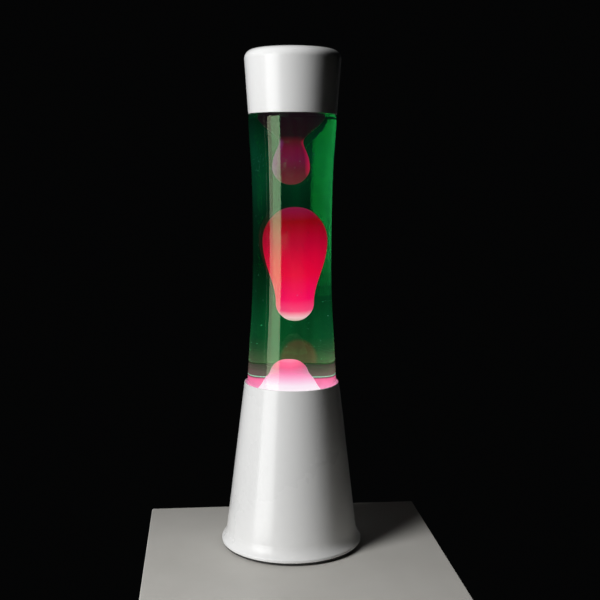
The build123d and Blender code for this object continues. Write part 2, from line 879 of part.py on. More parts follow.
with BuildPart() as wax_mound:
    with BuildSketch(Plane(origin=(mound_x, mound_y, 0), x_dir=(1, 0, 0), z_dir=(0, -1, 0))):
        with BuildLine():
            Spline(
                (0, mound_top),
                (mound_waist_radius, mound_waist_height),
                (mound_foot_radius, mound_foot_height),
                tangents=[(1, 0), (0.45, -1)],
            )
            Polyline(
                (mound_foot_radius, mound_foot_height),
                (mound_foot_radius, bottle_foot),
                (0, bottle_foot),
                (0, mound_top),
            )
        make_face()
    revolve(axis=Axis((mound_x, mound_y, 0), (0, 0, 1)))
    with BuildSketch(Plane.XY.offset(bottle_foot)):
        Circle(heel_radius)
    extrude(amount=pool_top - bottle_foot)
    add(cavity.part, mode=Mode.INTERSECT)

with BuildPart() as liquid:
    add(cavity.part)
    with BuildSketch(Plane.XY.offset(liquid_level)):
        Circle(shoulder_radius)
    extrude(amount=finish_top - liquid_level, mode=Mode.SUBTRACT)
    with BuildSketch(Plane.XY.offset(pool_top)):
        Circle(channel_radius)
    extrude(amount=liquid_level - pool_top, mode=Mode.SUBTRACT)
    add(wax_mound.part, mode=Mode.SUBTRACT)

with BuildPart() as wax_blob:
    blob_plane = Plane.XZ.shift_origin((blob_offset, 0, 0))
    with BuildSketch(blob_plane):
        with BuildLine():
            round_end(blob_tail_radius, blob_tail_height, blob_bottom)
            Spline(
                (blob_tail_radius, blob_tail_height),
                (blob_neck_radius, blob_neck_height),
                (blob_radius, blob_height),
                tangents=[(0, 1), (0, 1)],
            )
            round_end(blob_radius, blob_height, blob_top)
            Line((0, blob_top), (0, blob_bottom))
        make_face()
    revolve(axis=Axis((blob_offset, 0, 0), (0, 0, 1)))

with BuildPart() as wax_drop:
    drop_plane = Plane.XZ.shift_origin((drop_offset, 0, 0))
    with BuildSketch(drop_plane):
        with BuildLine():
            round_end(drop_radius, drop_height, drop_bottom)
            Spline(
                (drop_radius, drop_height),
                (drop_neck_radius, drop_neck_height),
                (drop_top_radius, drop_top_height),
                tangents=[(0, 1), (0.5, 1)],
            )
            Polyline(
                (drop_top_radius, drop_top_height),
                (drop_top_radius, drop_top - 1.0),
                (drop_top_radius - 1.0, drop_top),
                (0, drop_top),
                (0, drop_bottom),
            )
        make_face()
    revolve(axis=Axis((drop_offset, 0, 0), (0, 0, 1)))

with BuildPart() as crown_liner:
    with BuildSketch(Plane.XY.offset(finish_top)):
        Circle(finish_radius - 0.4)
    extrude(amount=liner_thickness)

with BuildPart() as crown_cap:
    crown_under = finish_top + liner_thickness
    skirt_foot = crown_under - crown_skirt_height
    with BuildSketch(Plane.XZ):
        with BuildLine():
            Polyline(
                (0, crown_under),
                (finish_radius, crown_under),
                (finish_radius + 0.2, finish_top - 0.6),
                (crown_skirt_radius - crown_sheet, skirt_foot),
                (crown_skirt_radius, skirt_foot),
                (finish_radius + 0.7, finish_top - 0.2),
                (finish_radius, crown_under + crown_sheet),
                (0, crown_under + crown_sheet),
                close=True,
            )
        make_face()
    revolve(axis=Axis.Z)
    with PolarLocations(crown_skirt_radius - 0.1, crown_ridges):
        with Locations((0, 0, skirt_foot)):
            Cone(
                crown_ridge_radius,
                crown_ridge_radius / 3,
                crown_skirt_height / 2,
                align=(Align.CENTER, Align.CENTER, Align.MIN),
            )

# ---------------------------------------------------------------- top cap

with BuildPart() as top_cap:
    with BuildSketch(Plane.XZ):
        with BuildLine():
            cap_outline(0)
        make_face()
        with BuildLine():
            cap_outline(cap_sheet)
        make_face(mode=Mode.SUBTRACT)
    revolve(axis=Axis.Z)
    fillet(ring_edges(top_cap, cap_rim_radius, cap_rim_height), 0.4)
    fillet(ring_edges(top_cap, cap_rim_radius - cap_sheet, cap_rim_height), 0.4)

with BuildPart() as cap_ring:
    lift = cap_seat_gap / sin(radians(shoulder_turn))
    ring_low = shoulder_radius - shoulder_bend + 1.5
    with BuildSketch(Plane.XZ):
        with BuildLine():
            Polyline(
                (cap_ring_inner_radius, shoulder_z(cap_ring_inner_radius) + lift),
                (ring_low, shoulder_z(ring_low) + lift),
                (cap_side(cap_ring_edge) - cap_sheet, cap_ring_edge),
                (cap_side(cap_ring_top) - cap_sheet, cap_ring_top),
                (cap_ring_inner_radius, cap_ring_top),
                close=True,
            )
        make_face()
    revolve(axis=Axis.Z)

parts = {
    "base_shell": base_shell,
    "bottom_plate": bottom_plate,
    "plate_screws": plate_screws,
    "rubber_feet": rubber_feet,
    "cord_gland": cord_gland,
    "seat_ring": seat_ring,
    "seat_pads": seat_pads,
    "holder_bracket": holder_bracket,
    "bracket_rivets": bracket_rivets,
    "lamp_holder": lamp_holder,
    "holder_screws": holder_screws,
    "holder_screw_shell": holder_screw_shell,
    "holder_contact": holder_contact,
    "holder_terminals": holder_terminals,
    "terminal_block": terminal_block,
    "terminal_barrels": terminal_barrels,
    "terminal_screws": terminal_screws,
    "block_screws": block_screws,
    "live_lead": live_lead,
    "neutral_lead": neutral_lead,
    "bulb_glass": bulb_glass,
    "bulb_cap": bulb_cap,
    "bulb_insulator": bulb_insulator,
    "bulb_tip_contact": bulb_tip_contact,
    "bulb_stem": bulb_stem,
    "bulb_filament": bulb_filament,
    "glass_bottle": glass_bottle,
    "liquid": liquid,
    "wax_mound": wax_mound,
    "wax_blob": wax_blob,
    "wax_drop": wax_drop,
    "crown_liner": crown_liner,
    "crown_cap": crown_cap,
    "top_cap": top_cap,
    "cap_ring": cap_ring,
}

os.makedirs("parts", exist_ok=True)
for name, piece in parts.items():
    piece.part.label = name
    export_step(piece.part, f"parts/{name}.step")
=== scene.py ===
"""Looks of the lava lamp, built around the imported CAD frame. All lengths are in metres."""

import math
import random

import bmesh
import bpy
from mathutils import Matrix, Vector


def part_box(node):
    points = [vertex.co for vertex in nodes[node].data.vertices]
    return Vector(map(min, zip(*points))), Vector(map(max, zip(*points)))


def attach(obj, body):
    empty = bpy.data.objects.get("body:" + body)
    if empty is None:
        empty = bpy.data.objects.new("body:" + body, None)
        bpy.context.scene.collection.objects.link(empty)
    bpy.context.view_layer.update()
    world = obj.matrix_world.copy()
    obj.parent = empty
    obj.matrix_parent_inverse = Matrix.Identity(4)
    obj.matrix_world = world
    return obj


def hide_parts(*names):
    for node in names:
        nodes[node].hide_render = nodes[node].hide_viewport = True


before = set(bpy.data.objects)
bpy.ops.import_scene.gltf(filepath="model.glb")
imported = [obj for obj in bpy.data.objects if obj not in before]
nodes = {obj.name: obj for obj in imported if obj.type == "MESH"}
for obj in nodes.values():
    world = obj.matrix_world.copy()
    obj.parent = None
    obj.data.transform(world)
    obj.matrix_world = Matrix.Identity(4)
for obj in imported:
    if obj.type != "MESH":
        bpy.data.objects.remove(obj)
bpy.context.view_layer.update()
scene = bpy.context.scene


# ---------------------------------------------------------------- shapes


def smooth_line(stations, count):
    """Points along a smooth curve through the stations, with upright ends."""
    points = []
    last = len(stations) - 1
    slopes = [0.0] * (last + 1)
    for i in range(1, last):
        (xa, za), (xb, zb) = stations[i - 1], stations[i + 1]
        slopes[i] = (xb - xa) / (zb - za)
    for i in range(last):
        (xa, za), (xb, zb) = stations[i], stations[i + 1]
        rise = zb - za
        for k in range(count):
            t = k / count
            x = (
                (2 * t**3 - 3 * t**2 + 1) * xa
                + (t**3 - 2 * t**2 + t) * slopes[i] * rise
                + (-2 * t**3 + 3 * t**2) * xb
                + (t**3 - t**2) * slopes[i + 1] * rise
            )
            points.append((x, za + t * rise))
    points.append(stations[-1])
    return points


def arc(centre, radius, start, end, count):
    """Points on an arc in the X-Z half plane, angles in degrees."""
    angles = [math.radians(start + (end - start) * k / count) for k in range(count + 1)]
    return [(centre[0] + radius * math.cos(a), centre[1] + radius * math.sin(a)) for a in angles]


def turned(name, outline, segments, shift=None, pole=(0.0, 0.0)):
    """A closed mesh turned about the Z axis.

    The outline starts and ends on the axis, or is a closed ring away from it.
    """
    on_axis = [abs(r) < 1e-9 for r, z in outline]
    verts, rings = [], []
    for (r, z), axis in zip(outline, on_axis):
        if axis:
            rings.append([len(verts)])
            verts.append((*pole, z))
            continue
        rings.append(list(range(len(verts), len(verts) + segments)))
        for k in range(segments):
            a = 2 * math.pi * k / segments
            point = (r * math.cos(a), r * math.sin(a), z)
            verts.append(shift(*point) if shift else point)
    pairs = list(zip(rings, rings[1:]))
    if not (on_axis[0] and on_axis[-1]):
        pairs.append((rings[-1], rings[0]))
    faces = []
    for low, high in pairs:
        for k in range(segments):
            n = (k + 1) % segments
            if len(low) == 1 and len(high) == 1:
                continue
            if len(low) == 1:
                faces.append((low[0], high[n], high[k]))
            elif len(high) == 1:
                faces.append((low[k], low[n], high[0]))
            else:
                faces.append((low[k], low[n], high[n], high[k]))
    mesh = bpy.data.meshes.new(name)
    mesh.from_pydata(verts, [], faces)
    mesh.update()
    mesh.polygons.foreach_set("use_smooth", [True] * len(mesh.polygons))
    piece = bpy.data.objects.new(name, mesh)
    scene.collection.objects.link(piece)
    return piece


def auto_smooth(piece, degrees=30.0):
    """Smooth shading that keeps the edges sharper than this angle."""
    mesh = piece.data
    mesh.polygons.foreach_set("use_smooth", [True] * len(mesh.polygons))
    mesh.set_sharp_from_angle(angle=math.radians(degrees))


def heights(name):
    """The lowest and the highest Z of a CAD node, to a thousandth of a millimetre."""
    low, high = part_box(name)
    return round(low[2], 6), round(high[2], 6)


def share_of(value, start, end):
    """How far the value has come from start to end, kept between 0 and 1."""
    return min(max((value - start) / (end - start), 0.0), 1.0)


# ---------------------------------------------------------------- nodes and plain finishes


def new_material(name):
    mat = bpy.data.materials.new(name)
    mat.use_nodes = True
    return mat, mat.node_tree, mat.node_tree.nodes["Principled BSDF"]


def feed(tree, socket, value):
    """Links an output to a socket, or sets the socket to a plain value."""
    if isinstance(value, bpy.types.NodeSocket):
        tree.links.new(value, socket)
    else:
        socket.default_value = value


def object_coords(tree, scale=(1, 1, 1), location=(0, 0, 0)):
    coords = tree.nodes.new("ShaderNodeTexCoord")
    mapping = tree.nodes.new("ShaderNodeMapping")
    mapping.inputs["Scale"].default_value = scale
    mapping.inputs["Location"].default_value = location
    tree.links.new(coords.outputs["Object"], mapping.inputs["Vector"])
    return mapping.outputs["Vector"]


def object_normal(tree):
    return tree.nodes.new("ShaderNodeTexCoord").outputs["Normal"]


def axes(tree, vector):
    """The X, Y and Z of a vector."""
    made = tree.nodes.new("ShaderNodeSeparateXYZ")
    tree.links.new(vector, made.inputs["Vector"])
    return made.outputs["X"], made.outputs["Y"], made.outputs["Z"]


def noise(tree, vector, scale, detail=4.0, roughness=0.5):
    made = tree.nodes.new("ShaderNodeTexNoise")
    made.inputs["Scale"].default_value = scale
    made.inputs["Detail"].default_value = detail
    made.inputs["Roughness"].default_value = roughness
    tree.links.new(vector, made.inputs["Vector"])
    return made.outputs["Fac"]


def ramp(tree, factor, stops):
    made = tree.nodes.new("ShaderNodeValToRGB")
    band = made.color_ramp
    while len(band.elements) < len(stops):
        band.elements.new(0.5)
    for element, (place, colour) in zip(band.elements, stops):
        element.position = place
        element.color = (*colour, 1.0)
    tree.links.new(factor, made.inputs["Fac"])
    return made.outputs["Color"]


def value_range(tree, factor, low, high, start=0.0, end=1.0):
    """Turns start to end into low to high."""
    made = tree.nodes.new("ShaderNodeMapRange")
    made.inputs["From Min"].default_value = start
    made.inputs["From Max"].default_value = end
    made.inputs["To Min"].default_value = low
    made.inputs["To Max"].default_value = high
    tree.links.new(factor, made.inputs["Value"])
    return made.outputs["Result"]


def arithmetic(tree, operation, *values):
    """One arithmetic step on outputs or plain numbers."""
    made = tree.nodes.new("ShaderNodeMath")
    made.operation = operation
    for socket, value in zip(made.inputs, values):
        feed(tree, socket, value)
    return made.outputs["Value"]


def dot(tree, first, second):
    made = tree.nodes.new("ShaderNodeVectorMath")
    made.operation = "DOT_PRODUCT"
    feed(tree, made.inputs[0], first)
    feed(tree, made.inputs[1], second)
    return made.outputs["Value"]


def mixed(tree, blend, share, first, second):
    """Two colours mixed in this blend mode."""
    made = tree.nodes.new("ShaderNodeMix")
    made.data_type = "RGBA"
    made.blend_type = blend
    feed(tree, made.inputs[0], share)
    feed(tree, made.inputs[6], first)
    feed(tree, made.inputs[7], second)
    return made.outputs[2]


def bump(tree, height, strength, distance):
    made = tree.nodes.new("ShaderNodeBump")
    made.inputs["Strength"].default_value = strength
    made.inputs["Distance"].default_value = distance
    tree.links.new(height, made.inputs["Height"])
    return made.outputs["Normal"]


def surface(name, light, dark, scale, rough, metallic=0.0, grain=0.0, grain_scale=400.0,
            stretch=(1, 1, 1), coat=0.0, coat_roughness=0.1, specular=0.5):
    """A finish with colour that drifts between two shades, uneven roughness and a fine grain."""
    mat, tree, shader = new_material(name)
    vector = object_coords(tree, stretch)
    drift = noise(tree, vector, scale, 5.0, 0.6)
    tree.links.new(ramp(tree, drift, [(0.3, dark), (0.7, light)]), shader.inputs["Base Color"])
    tree.links.new(value_range(tree, drift, *rough, 0.3, 0.7), shader.inputs["Roughness"])
    shader.inputs["Metallic"].default_value = metallic
    shader.inputs["Specular IOR Level"].default_value = specular
    shader.inputs["Coat Weight"].default_value = coat
    shader.inputs["Coat Roughness"].default_value = coat_roughness
    if grain:
        fine = noise(tree, vector, grain_scale, 3.0, 0.6)
        tree.links.new(bump(tree, fine, 0.5, grain), shader.inputs["Normal"])
    return mat


def dress(names, mat):
    """Gives CAD nodes their material."""
    for name in names:
        piece = nodes[name]
        piece.data.materials.clear()
        piece.data.materials.append(mat)
        auto_smooth(piece)


dress(["base_shell", "top_cap"], surface(
    "white_enamel", (0.80, 0.80, 0.795), (0.765, 0.768, 0.765), 9.0, (0.24, 0.33),
    grain=0.00002, grain_scale=900.0, coat=0.4, coat_roughness=0.12,
))
dress(["bottom_plate"], surface(
    "black_paint", (0.022, 0.022, 0.023), (0.012, 0.012, 0.012), 30.0, (0.4, 0.6),
    grain=0.00004, grain_scale=700.0,
))
dress(["rubber_feet", "cord_gland"], surface(
    "black_rubber", (0.03, 0.03, 0.03), (0.018, 0.018, 0.018), 60.0, (0.65, 0.85),
    grain=0.00006, grain_scale=900.0, specular=0.3,
))
dress([
    "plate_screws", "seat_ring", "holder_bracket", "holder_screws", "terminal_screws", "block_screws",
], surface(
    "steel", (0.62, 0.62, 0.63), (0.48, 0.48, 0.49), 40.0, (0.28, 0.42), metallic=1.0,
    grain=0.00002, grain_scale=500.0, stretch=(1, 1, 6),
))
dress(["bracket_rivets"], surface(
    "rivet_alloy", (0.75, 0.75, 0.76), (0.62, 0.62, 0.63), 60.0, (0.3, 0.45), metallic=1.0,
    grain=0.00002,
))
dress(["seat_pads"], surface(
    "silicone", (0.6, 0.6, 0.58), (0.5, 0.5, 0.48), 60.0, (0.5, 0.65), grain=0.00004,
))
dress(["cap_ring"], surface(
    "soft_ring", (0.13, 0.13, 0.13), (0.08, 0.08, 0.08), 50.0, (0.6, 0.75), grain=0.00005,
))
dress(["lamp_holder"], surface(
    "phenolic", (0.035, 0.03, 0.026), (0.02, 0.017, 0.015), 50.0, (0.3, 0.45), grain=0.00003,
))
dress(["holder_screw_shell", "holder_contact", "holder_terminals", "terminal_barrels"], surface(
    "brass", (0.78, 0.58, 0.25), (0.62, 0.43, 0.16), 60.0, (0.2, 0.35), metallic=1.0, grain=0.00002,
))
dress(["terminal_block"], surface(
    "nylon", (0.8, 0.79, 0.74), (0.7, 0.69, 0.64), 60.0, (0.4, 0.55), grain=0.00003,
))
dress(["live_lead"], surface(
    "brown_lead", (0.2, 0.085, 0.04), (0.15, 0.06, 0.03), 80.0, (0.4, 0.5), grain=0.00002,
))
dress(["neutral_lead"], surface(
    "blue_lead", (0.03, 0.13, 0.48), (0.025, 0.1, 0.38), 80.0, (0.4, 0.5), grain=0.00002,
))
dress(["bulb_cap", "bulb_tip_contact"], surface(
    "bulb_cap", (0.74, 0.74, 0.75), (0.6, 0.6, 0.61), 80.0, (0.25, 0.4), metallic=1.0, grain=0.00002,
))
dress(["bulb_insulator"], surface(
    "black_glass", (0.02, 0.02, 0.03), (0.012, 0.012, 0.02), 80.0, (0.08, 0.15),
))
dress(["crown_liner"], surface(
    "liner", (0.82, 0.82, 0.8), (0.74, 0.74, 0.72), 80.0, (0.5, 0.65), grain=0.00003,
))
dress(["crown_cap"], surface(
    "crown_steel", (0.66, 0.63, 0.56), (0.52, 0.5, 0.44), 60.0, (0.25, 0.4), metallic=1.0, grain=0.00002,
))


# ---------------------------------------------------------------- glass, liquid and filament


def glass(name, colour, ior, roughness=0.0, waves=0.0):
    mat, tree, shader = new_material(name)
    shader.inputs["Base Color"].default_value = (*colour, 1.0)
    shader.inputs["Roughness"].default_value = roughness
    shader.inputs["IOR"].default_value = ior
    shader.inputs["Transmission Weight"].default_value = 1.0
    if waves:
        slow = noise(tree, object_coords(tree), 22.0, 2.0, 0.4)
        tree.links.new(bump(tree, slow, 0.3, waves), shader.inputs["Normal"])
    return mat, tree, shader


def bottle_glass():
    """Clear glass with slow waves, whose reflections are slightly green."""
    mat, tree, shader = glass("clear_glass", (0.985, 0.995, 0.99), 1.5, waves=0.0003)
    shader.inputs["Specular Tint"].default_value = (0.85, 1.0, 0.62, 1.0)
    return mat


def painted_wax_reflection(tree):
    """A painted reflection of the wax mound in the back of the bottle: a soft dome of glow on the far side.
    """
    dome = tree.nodes.new("ShaderNodeTexGradient")
    dome.gradient_type = "SPHERICAL"
    place = object_coords(tree, scale=(115.0, 0.0, 58.0), location=(-0.35, 0.0, -8.58))
    tree.links.new(place, dome.inputs["Vector"])
    inside_dome = value_range(tree, dome.outputs["Fac"], 0.0, 1.0, 0.0, 0.2)
    _, depth, _ = axes(tree, object_coords(tree))
    at_back = value_range(tree, depth, 0.0, 1.0, 0.0, 0.01)
    return arithmetic(tree, "MULTIPLY", inside_dome, at_back)


def tinted_liquid():
    """Green liquid that takes out red light, with a painted glow in upright streaks that stands in for the
    bulb's light in it, pink near the wax below.
    """
    mat, tree, shader = glass("green_liquid", (0.97, 1.0, 0.985), 1.33)
    absorb = tree.nodes.new("ShaderNodeVolumeAbsorption")
    absorb.inputs["Color"].default_value = (0.04, 0.86, 0.42, 1.0)
    absorb.inputs["Density"].default_value = 32.0
    tree.links.new(absorb.outputs["Volume"], tree.nodes["Material Output"].inputs["Volume"])

    _, _, height = axes(tree, object_coords(tree))
    # Painted glow by height: pink near the wax at the bottom, green above it, dim in the middle, brighter
    # again higher up and dark right under the cap.
    painted_glow = ramp(tree, value_range(tree, height, 0.0, 1.0, 0.13, 0.35), [
        (0.0, (0.24, 0.11, 0.10)), (0.075, (0.18, 0.10, 0.08)), (0.12, (0.05, 0.06, 0.04)),
        (0.16, (0.008, 0.048, 0.026)), (0.25, (0.004, 0.048, 0.024)),
        (0.45, (0.001, 0.012, 0.007)), (0.62, (0.001, 0.012, 0.008)),
        (0.85, (0.002, 0.040, 0.026)), (1.0, (0.001, 0.005, 0.004)),
    ])
    # The painted reflection of the mound, in dark red, is added to the painted glow.
    glow = mixed(tree, "ADD", painted_wax_reflection(tree), painted_glow, (0.34, 0.0, 0.012, 1.0))
    tree.links.new(glow, shader.inputs["Emission Color"])

    # The painted glow's strength: upright streaks, strongest on the back faces and faint on the front ones.
    streaks = noise(tree, object_coords(tree, (1, 1, 0.12)), 55.0, 3.0, 0.55)
    streak_strength = value_range(tree, streaks, 0.3, 1.6, 0.35, 0.65)
    from_inside = tree.nodes.new("ShaderNodeNewGeometry").outputs["Backfacing"]
    side_strength = value_range(tree, from_inside, 0.12, 1.0)
    strength = arithmetic(tree, "MULTIPLY", streak_strength, side_strength)
    tree.links.new(strength, shader.inputs["Emission Strength"])
    return mat


def hot_wire():
    mat, tree, shader = new_material("filament")
    shader.inputs["Base Color"].default_value = (0.9, 0.7, 0.4, 1.0)
    heat = noise(tree, object_coords(tree), 300.0)
    glow = ramp(tree, heat, [(0.3, (1.0, 0.55, 0.2)), (0.7, (1.0, 0.8, 0.5))])
    tree.links.new(glow, shader.inputs["Emission Color"])
    shader.inputs["Emission Strength"].default_value = 6.0
    return mat


dress(["bulb_glass", "bulb_stem"], glass("bulb_glass", (0.97, 0.97, 0.97), 1.5, roughness=0.03)[0])
dress(["bulb_filament"], hot_wire())

# ---------------------------------------------------------------- the bottle, in the CAD's own sizes

BOTTLE_FOOT, FINISH_TOP = heights("glass_bottle")
FLOOR, MOUND_TOP = heights("wax_mound")
POOL_TOP, LIQUID_LEVEL = heights("liquid")
WALL = 0.003
HEEL_X = 0.0360
HEEL_BEND = 0.003
PUNT_X = 0.028
PUNT_RISE = 0.003
FLOOR_BEND = 0.004
SHOULDER_X = 0.0345
SHOULDER_Z = BOTTLE_FOOT + 0.2210
SHOULDER_BEND = 0.004
SHOULDER_SLOPE = 30
NECK_X = 0.0122
NECK_BEND = 0.004
FINISH_Z = BOTTLE_FOOT + 0.2480
FINISH_X = 0.0133
FINISH_BEND = 0.0004
ROUND = 192

WAIST = [
    (0.0344, BOTTLE_FOOT + 0.0370), (0.0319, BOTTLE_FOOT + 0.0780), (0.0312, BOTTLE_FOOT + 0.1230),
    (0.0320, BOTTLE_FOOT + 0.1760), (SHOULDER_X, SHOULDER_Z),
]


def shoulder_and_neck(inset):
    """The bend, the slope and the neck's corner, from the wall up, moved in by the inset."""
    slope = math.tan(math.radians(SHOULDER_SLOPE))
    points = arc((SHOULDER_X - SHOULDER_BEND, SHOULDER_Z), SHOULDER_BEND - inset, 0, 60, 10)
    neck = NECK_X - inset
    bend = NECK_BEND + inset
    end_x, end_z = points[-1]
    corner_z = end_z + (end_x - neck) * slope
    points += arc((neck + bend, corner_z + bend * slope), bend, 240, 180, 10)
    return points


inner_wall = [
    (r - WALL, z) for r, z in smooth_line([(HEEL_X, FLOOR + FLOOR_BEND)] + WAIST, 24)
]
bottle_floor = [(0.0, FLOOR)] + arc(
    (inner_wall[0][0] - FLOOR_BEND, FLOOR + FLOOR_BEND), FLOOR_BEND, -90, 0, 8
)


def wall_radius(z):
    """Inner radius of the bottle's wall at a height."""
    for (ra, za), (rb, zb) in zip(inner_wall, inner_wall[1:]):
        if za <= z <= zb:
            return ra + (rb - ra) * (z - za) / (zb - za)
    return inner_wall[0][0] if z < inner_wall[0][1] else inner_wall[-1][0]


def bottle_outline():
    """Up the outside, over the lip and down the inside."""
    steps = [k / 10 for k in range(11)]
    punt = [(PUNT_X * t, BOTTLE_FOOT + PUNT_RISE * (1 - t**2)) for t in steps]
    heel_z = BOTTLE_FOOT + HEEL_BEND
    heel = arc((HEEL_X - HEEL_BEND, heel_z), HEEL_BEND, -90, 0, 8)
    outer_wall = smooth_line([(HEEL_X, heel_z)] + WAIST, 24)
    ring_x = FINISH_X - FINISH_BEND
    finish = [
        (NECK_X, FINISH_Z), (ring_x, FINISH_Z), (FINISH_X, FINISH_Z + FINISH_BEND),
        (FINISH_X, FINISH_TOP - 0.0012), (ring_x, FINISH_TOP - 0.0003), (NECK_X - 0.0001, FINISH_TOP),
    ]
    outside = punt + heel[:-1] + outer_wall[:-1] + shoulder_and_neck(0.0) + finish
    inside = bottle_floor + inner_wall[:-1] + shoulder_and_neck(WALL) + [(NECK_X - WALL, FINISH_TOP)]
    return outside + list(reversed(inside))


bottle = turned("bottle_glass", bottle_outline(), ROUND)
bottle.data.materials.append(bottle_glass())
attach(bottle, "bottle")
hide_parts("glass_bottle")

# The liquid's skin lies this far inside the glass, so that no air gap shows between them.
SKIN = 0.0005


def liquid_outline():
    points = [(0.0, FLOOR - SKIN)]
    for r, z in bottle_floor[1:] + inner_wall[:-1] + shoulder_and_neck(WALL):
        if z < LIQUID_LEVEL:
            points.append((r + SKIN, z - SKIN * (z < FLOOR + FLOOR_BEND)))
    last_r, last_z = points[-1]
    top_r = last_r - (LIQUID_LEVEL - last_z) / math.tan(math.radians(SHOULDER_SLOPE))
    return points + [(top_r, LIQUID_LEVEL), (0.0, LIQUID_LEVEL)]


fluid = turned("green_fluid", liquid_outline(), ROUND)
fluid.data.materials.append(tinted_liquid())
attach(fluid, "bottle")
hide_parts("liquid")

# ---------------------------------------------------------------- wax


def wax(name, low, high, colours, mottle):
    """Wax with painted light from the bulb below: its glow runs through these colours from low to high, and
    its base colour is a dim copy of that glow.
    """
    mat, tree, shader = new_material(name)
    vector = object_coords(tree)
    _, _, z = axes(tree, vector)
    drift = value_range(tree, noise(tree, vector, 26.0, 3.0, 0.5), -mottle, mottle, 0.25, 0.75)
    level = arithmetic(tree, "ADD", value_range(tree, z, 0.0, 1.0, low, high), drift)
    glow = ramp(tree, level, colours)
    tree.links.new(glow, shader.inputs["Emission Color"])
    shader.inputs["Emission Strength"].default_value = 2.0
    tree.links.new(
        mixed(tree, "MULTIPLY", 1.0, glow, (0.15, 0.15, 0.15, 1.0)), shader.inputs["Base Color"]
    )
    shader.inputs["Roughness"].default_value = 0.35
    slow = noise(tree, vector, 60.0, 2.0, 0.5)
    tree.links.new(bump(tree, slow, 0.2, 0.0004), shader.inputs["Normal"])
    return mat


def painted_side_light(mat, side, colour, start):
    """Adds a painted side light to the wax: a glow on the faces turned to one side, below the top of the
    drop's neck.
    """
    tree = mat.node_tree
    glow = mat.node_tree.nodes["Principled BSDF"].inputs["Emission Color"]
    turned_there = value_range(tree, dot(tree, object_normal(tree), side), 0.0, 1.0, start, 1.0)
    _, _, z = axes(tree, object_coords(tree))
    low_down = value_range(tree, z, 1.0, 0.0, 0.3230, 0.3290)
    share = arithmetic(tree, "MULTIPLY", turned_there, low_down)
    tree.links.new(mixed(tree, "ADD", share, glow.links[0].from_socket, (*colour, 1.0)), glow)


# Painted light: the blob glows pale pink at its bottom, red higher up and dark at its top, as if lit from
# below.
dress(["wax_blob"], wax("blob_wax", *heights("wax_blob"), [
    (0.0, (0.6, 0.25, 0.27)), (0.04, (1.0, 0.33, 0.46)), (0.1, (0.93, 0.035, 0.15)),
    (0.2, (0.9, 0.0, 0.08)), (0.42, (0.66, 0.0, 0.028)), (0.7, (0.33, 0.0, 0.016)),
    (0.88, (0.21, 0.0, 0.003)), (1.0, (0.22, 0.002, 0.035)),
], mottle=0.02))

# Painted light and shade: the drop glows a dim dark red low down and is nearly black towards its top.
drop_wax = wax("drop_wax", *heights("wax_drop"), [
    (0.0, (0.13, 0.011, 0.017)), (0.2, (0.09, 0.004, 0.013)), (0.35, (0.115, 0.001, 0.024)),
    (0.5, (0.125, 0.0, 0.018)), (0.6, (0.08, 0.002, 0.008)), (0.68, (0.012, 0.001, 0.004)),
    (1.0, (0.004, 0.001, 0.003)),
], mottle=0.03)
# Painted rim light on the drop: red on its right flank, lilac on its left.
painted_side_light(drop_wax, (0.985, -0.17, 0.0), (0.30, 0.0, 0.02), 0.86)
painted_side_light(drop_wax, (-0.985, -0.17, 0.0), (0.10, 0.012, 0.10), 0.7)
dress(["wax_drop"], drop_wax)

# The mound: a dome in front of the middle, whose foot spreads along the front of the glass.
MOUND_X, MOUND_Y = -0.0018, -0.0140
MOUND_FOOT = FLOOR + 0.0020
MOUND = [
    (0.0205, MOUND_FOOT), (0.0190, FLOOR + 0.0040), (0.0175, FLOOR + 0.0068),
    (0.0160, FLOOR + 0.0097), (0.0147, FLOOR + 0.0131), (0.0138, FLOOR + 0.0152),
    (0.0131, FLOOR + 0.0178), (0.0119, FLOOR + 0.0212), (0.0103, FLOOR + 0.0238),
    (0.0072, FLOOR + 0.0266), (0.0048, FLOOR + 0.0277), (0.0, MOUND_TOP),
]
DOME_START = FLOOR + 0.0170
SPREAD_TOP = FLOOR + 0.0210
SPREAD_LOW = SPREAD_TOP - 0.0046


def lean_on_glass(x, y, z):
    """Moves a point of the mound forward, so that its foot spreads against the front of the bottle."""
    rise = share_of(z, DOME_START, MOUND_TOP)
    spread = share_of(z, SPREAD_TOP, SPREAD_LOW) ** 1.5
    limit = wall_radius(z) + 1.5 * SKIN
    if y < 0:
        x *= 1.0 + 0.42 * spread * min(-3.0 * y / math.hypot(x, y), 1.0)
        y *= 1.0 + 0.55 * (1.0 - rise) ** 0.6 + 2.5 * spread
    x, y = x + MOUND_X, y + MOUND_Y
    if math.hypot(x, y) > limit:
        y = -math.sqrt(max(limit * limit - x * x, 0.0))
    return x, y, z


def softened(outline, steps=6, passes=3):
    """The outline with points between its own, and its corners rounded off."""
    points = []
    for (ra, za), (rb, zb) in zip(outline, outline[1:]):
        points += [(ra + (rb - ra) * k / steps, za + (zb - za) * k / steps) for k in range(steps)]
    for _ in range(passes):
        middle = [
            ((a[0] + 2 * b[0] + c[0]) / 4, (a[1] + 2 * b[1] + c[1]) / 4)
            for a, b, c in zip(points, points[1:], points[2:])
        ]
        points = [points[0]] + middle + [points[-1]]
    return points


mound = turned(
    "mound", [(0.0, MOUND_FOOT)] + softened(MOUND) + [(0.0, MOUND_TOP)], 128,
    shift=lean_on_glass, pole=(MOUND_X, MOUND_Y),
)
# Painted light: the mound glows pale grey at its foot and turns hot pink at its top.
mound.data.materials.append(wax("mound_wax", BOTTLE_FOOT + 0.0080, MOUND_TOP, [
    (0.0, (0.49, 0.47, 0.48)), (0.3, (0.49, 0.41, 0.46)), (0.42, (0.49, 0.31, 0.40)),
    (0.54, (0.50, 0.21, 0.32)), (0.68, (0.50, 0.12, 0.23)), (0.82, (0.60, 0.07, 0.17)),
    (0.94, (0.85, 0.09, 0.21)), (1.0, (1.0, 0.16, 0.31)),
], mottle=0.03))

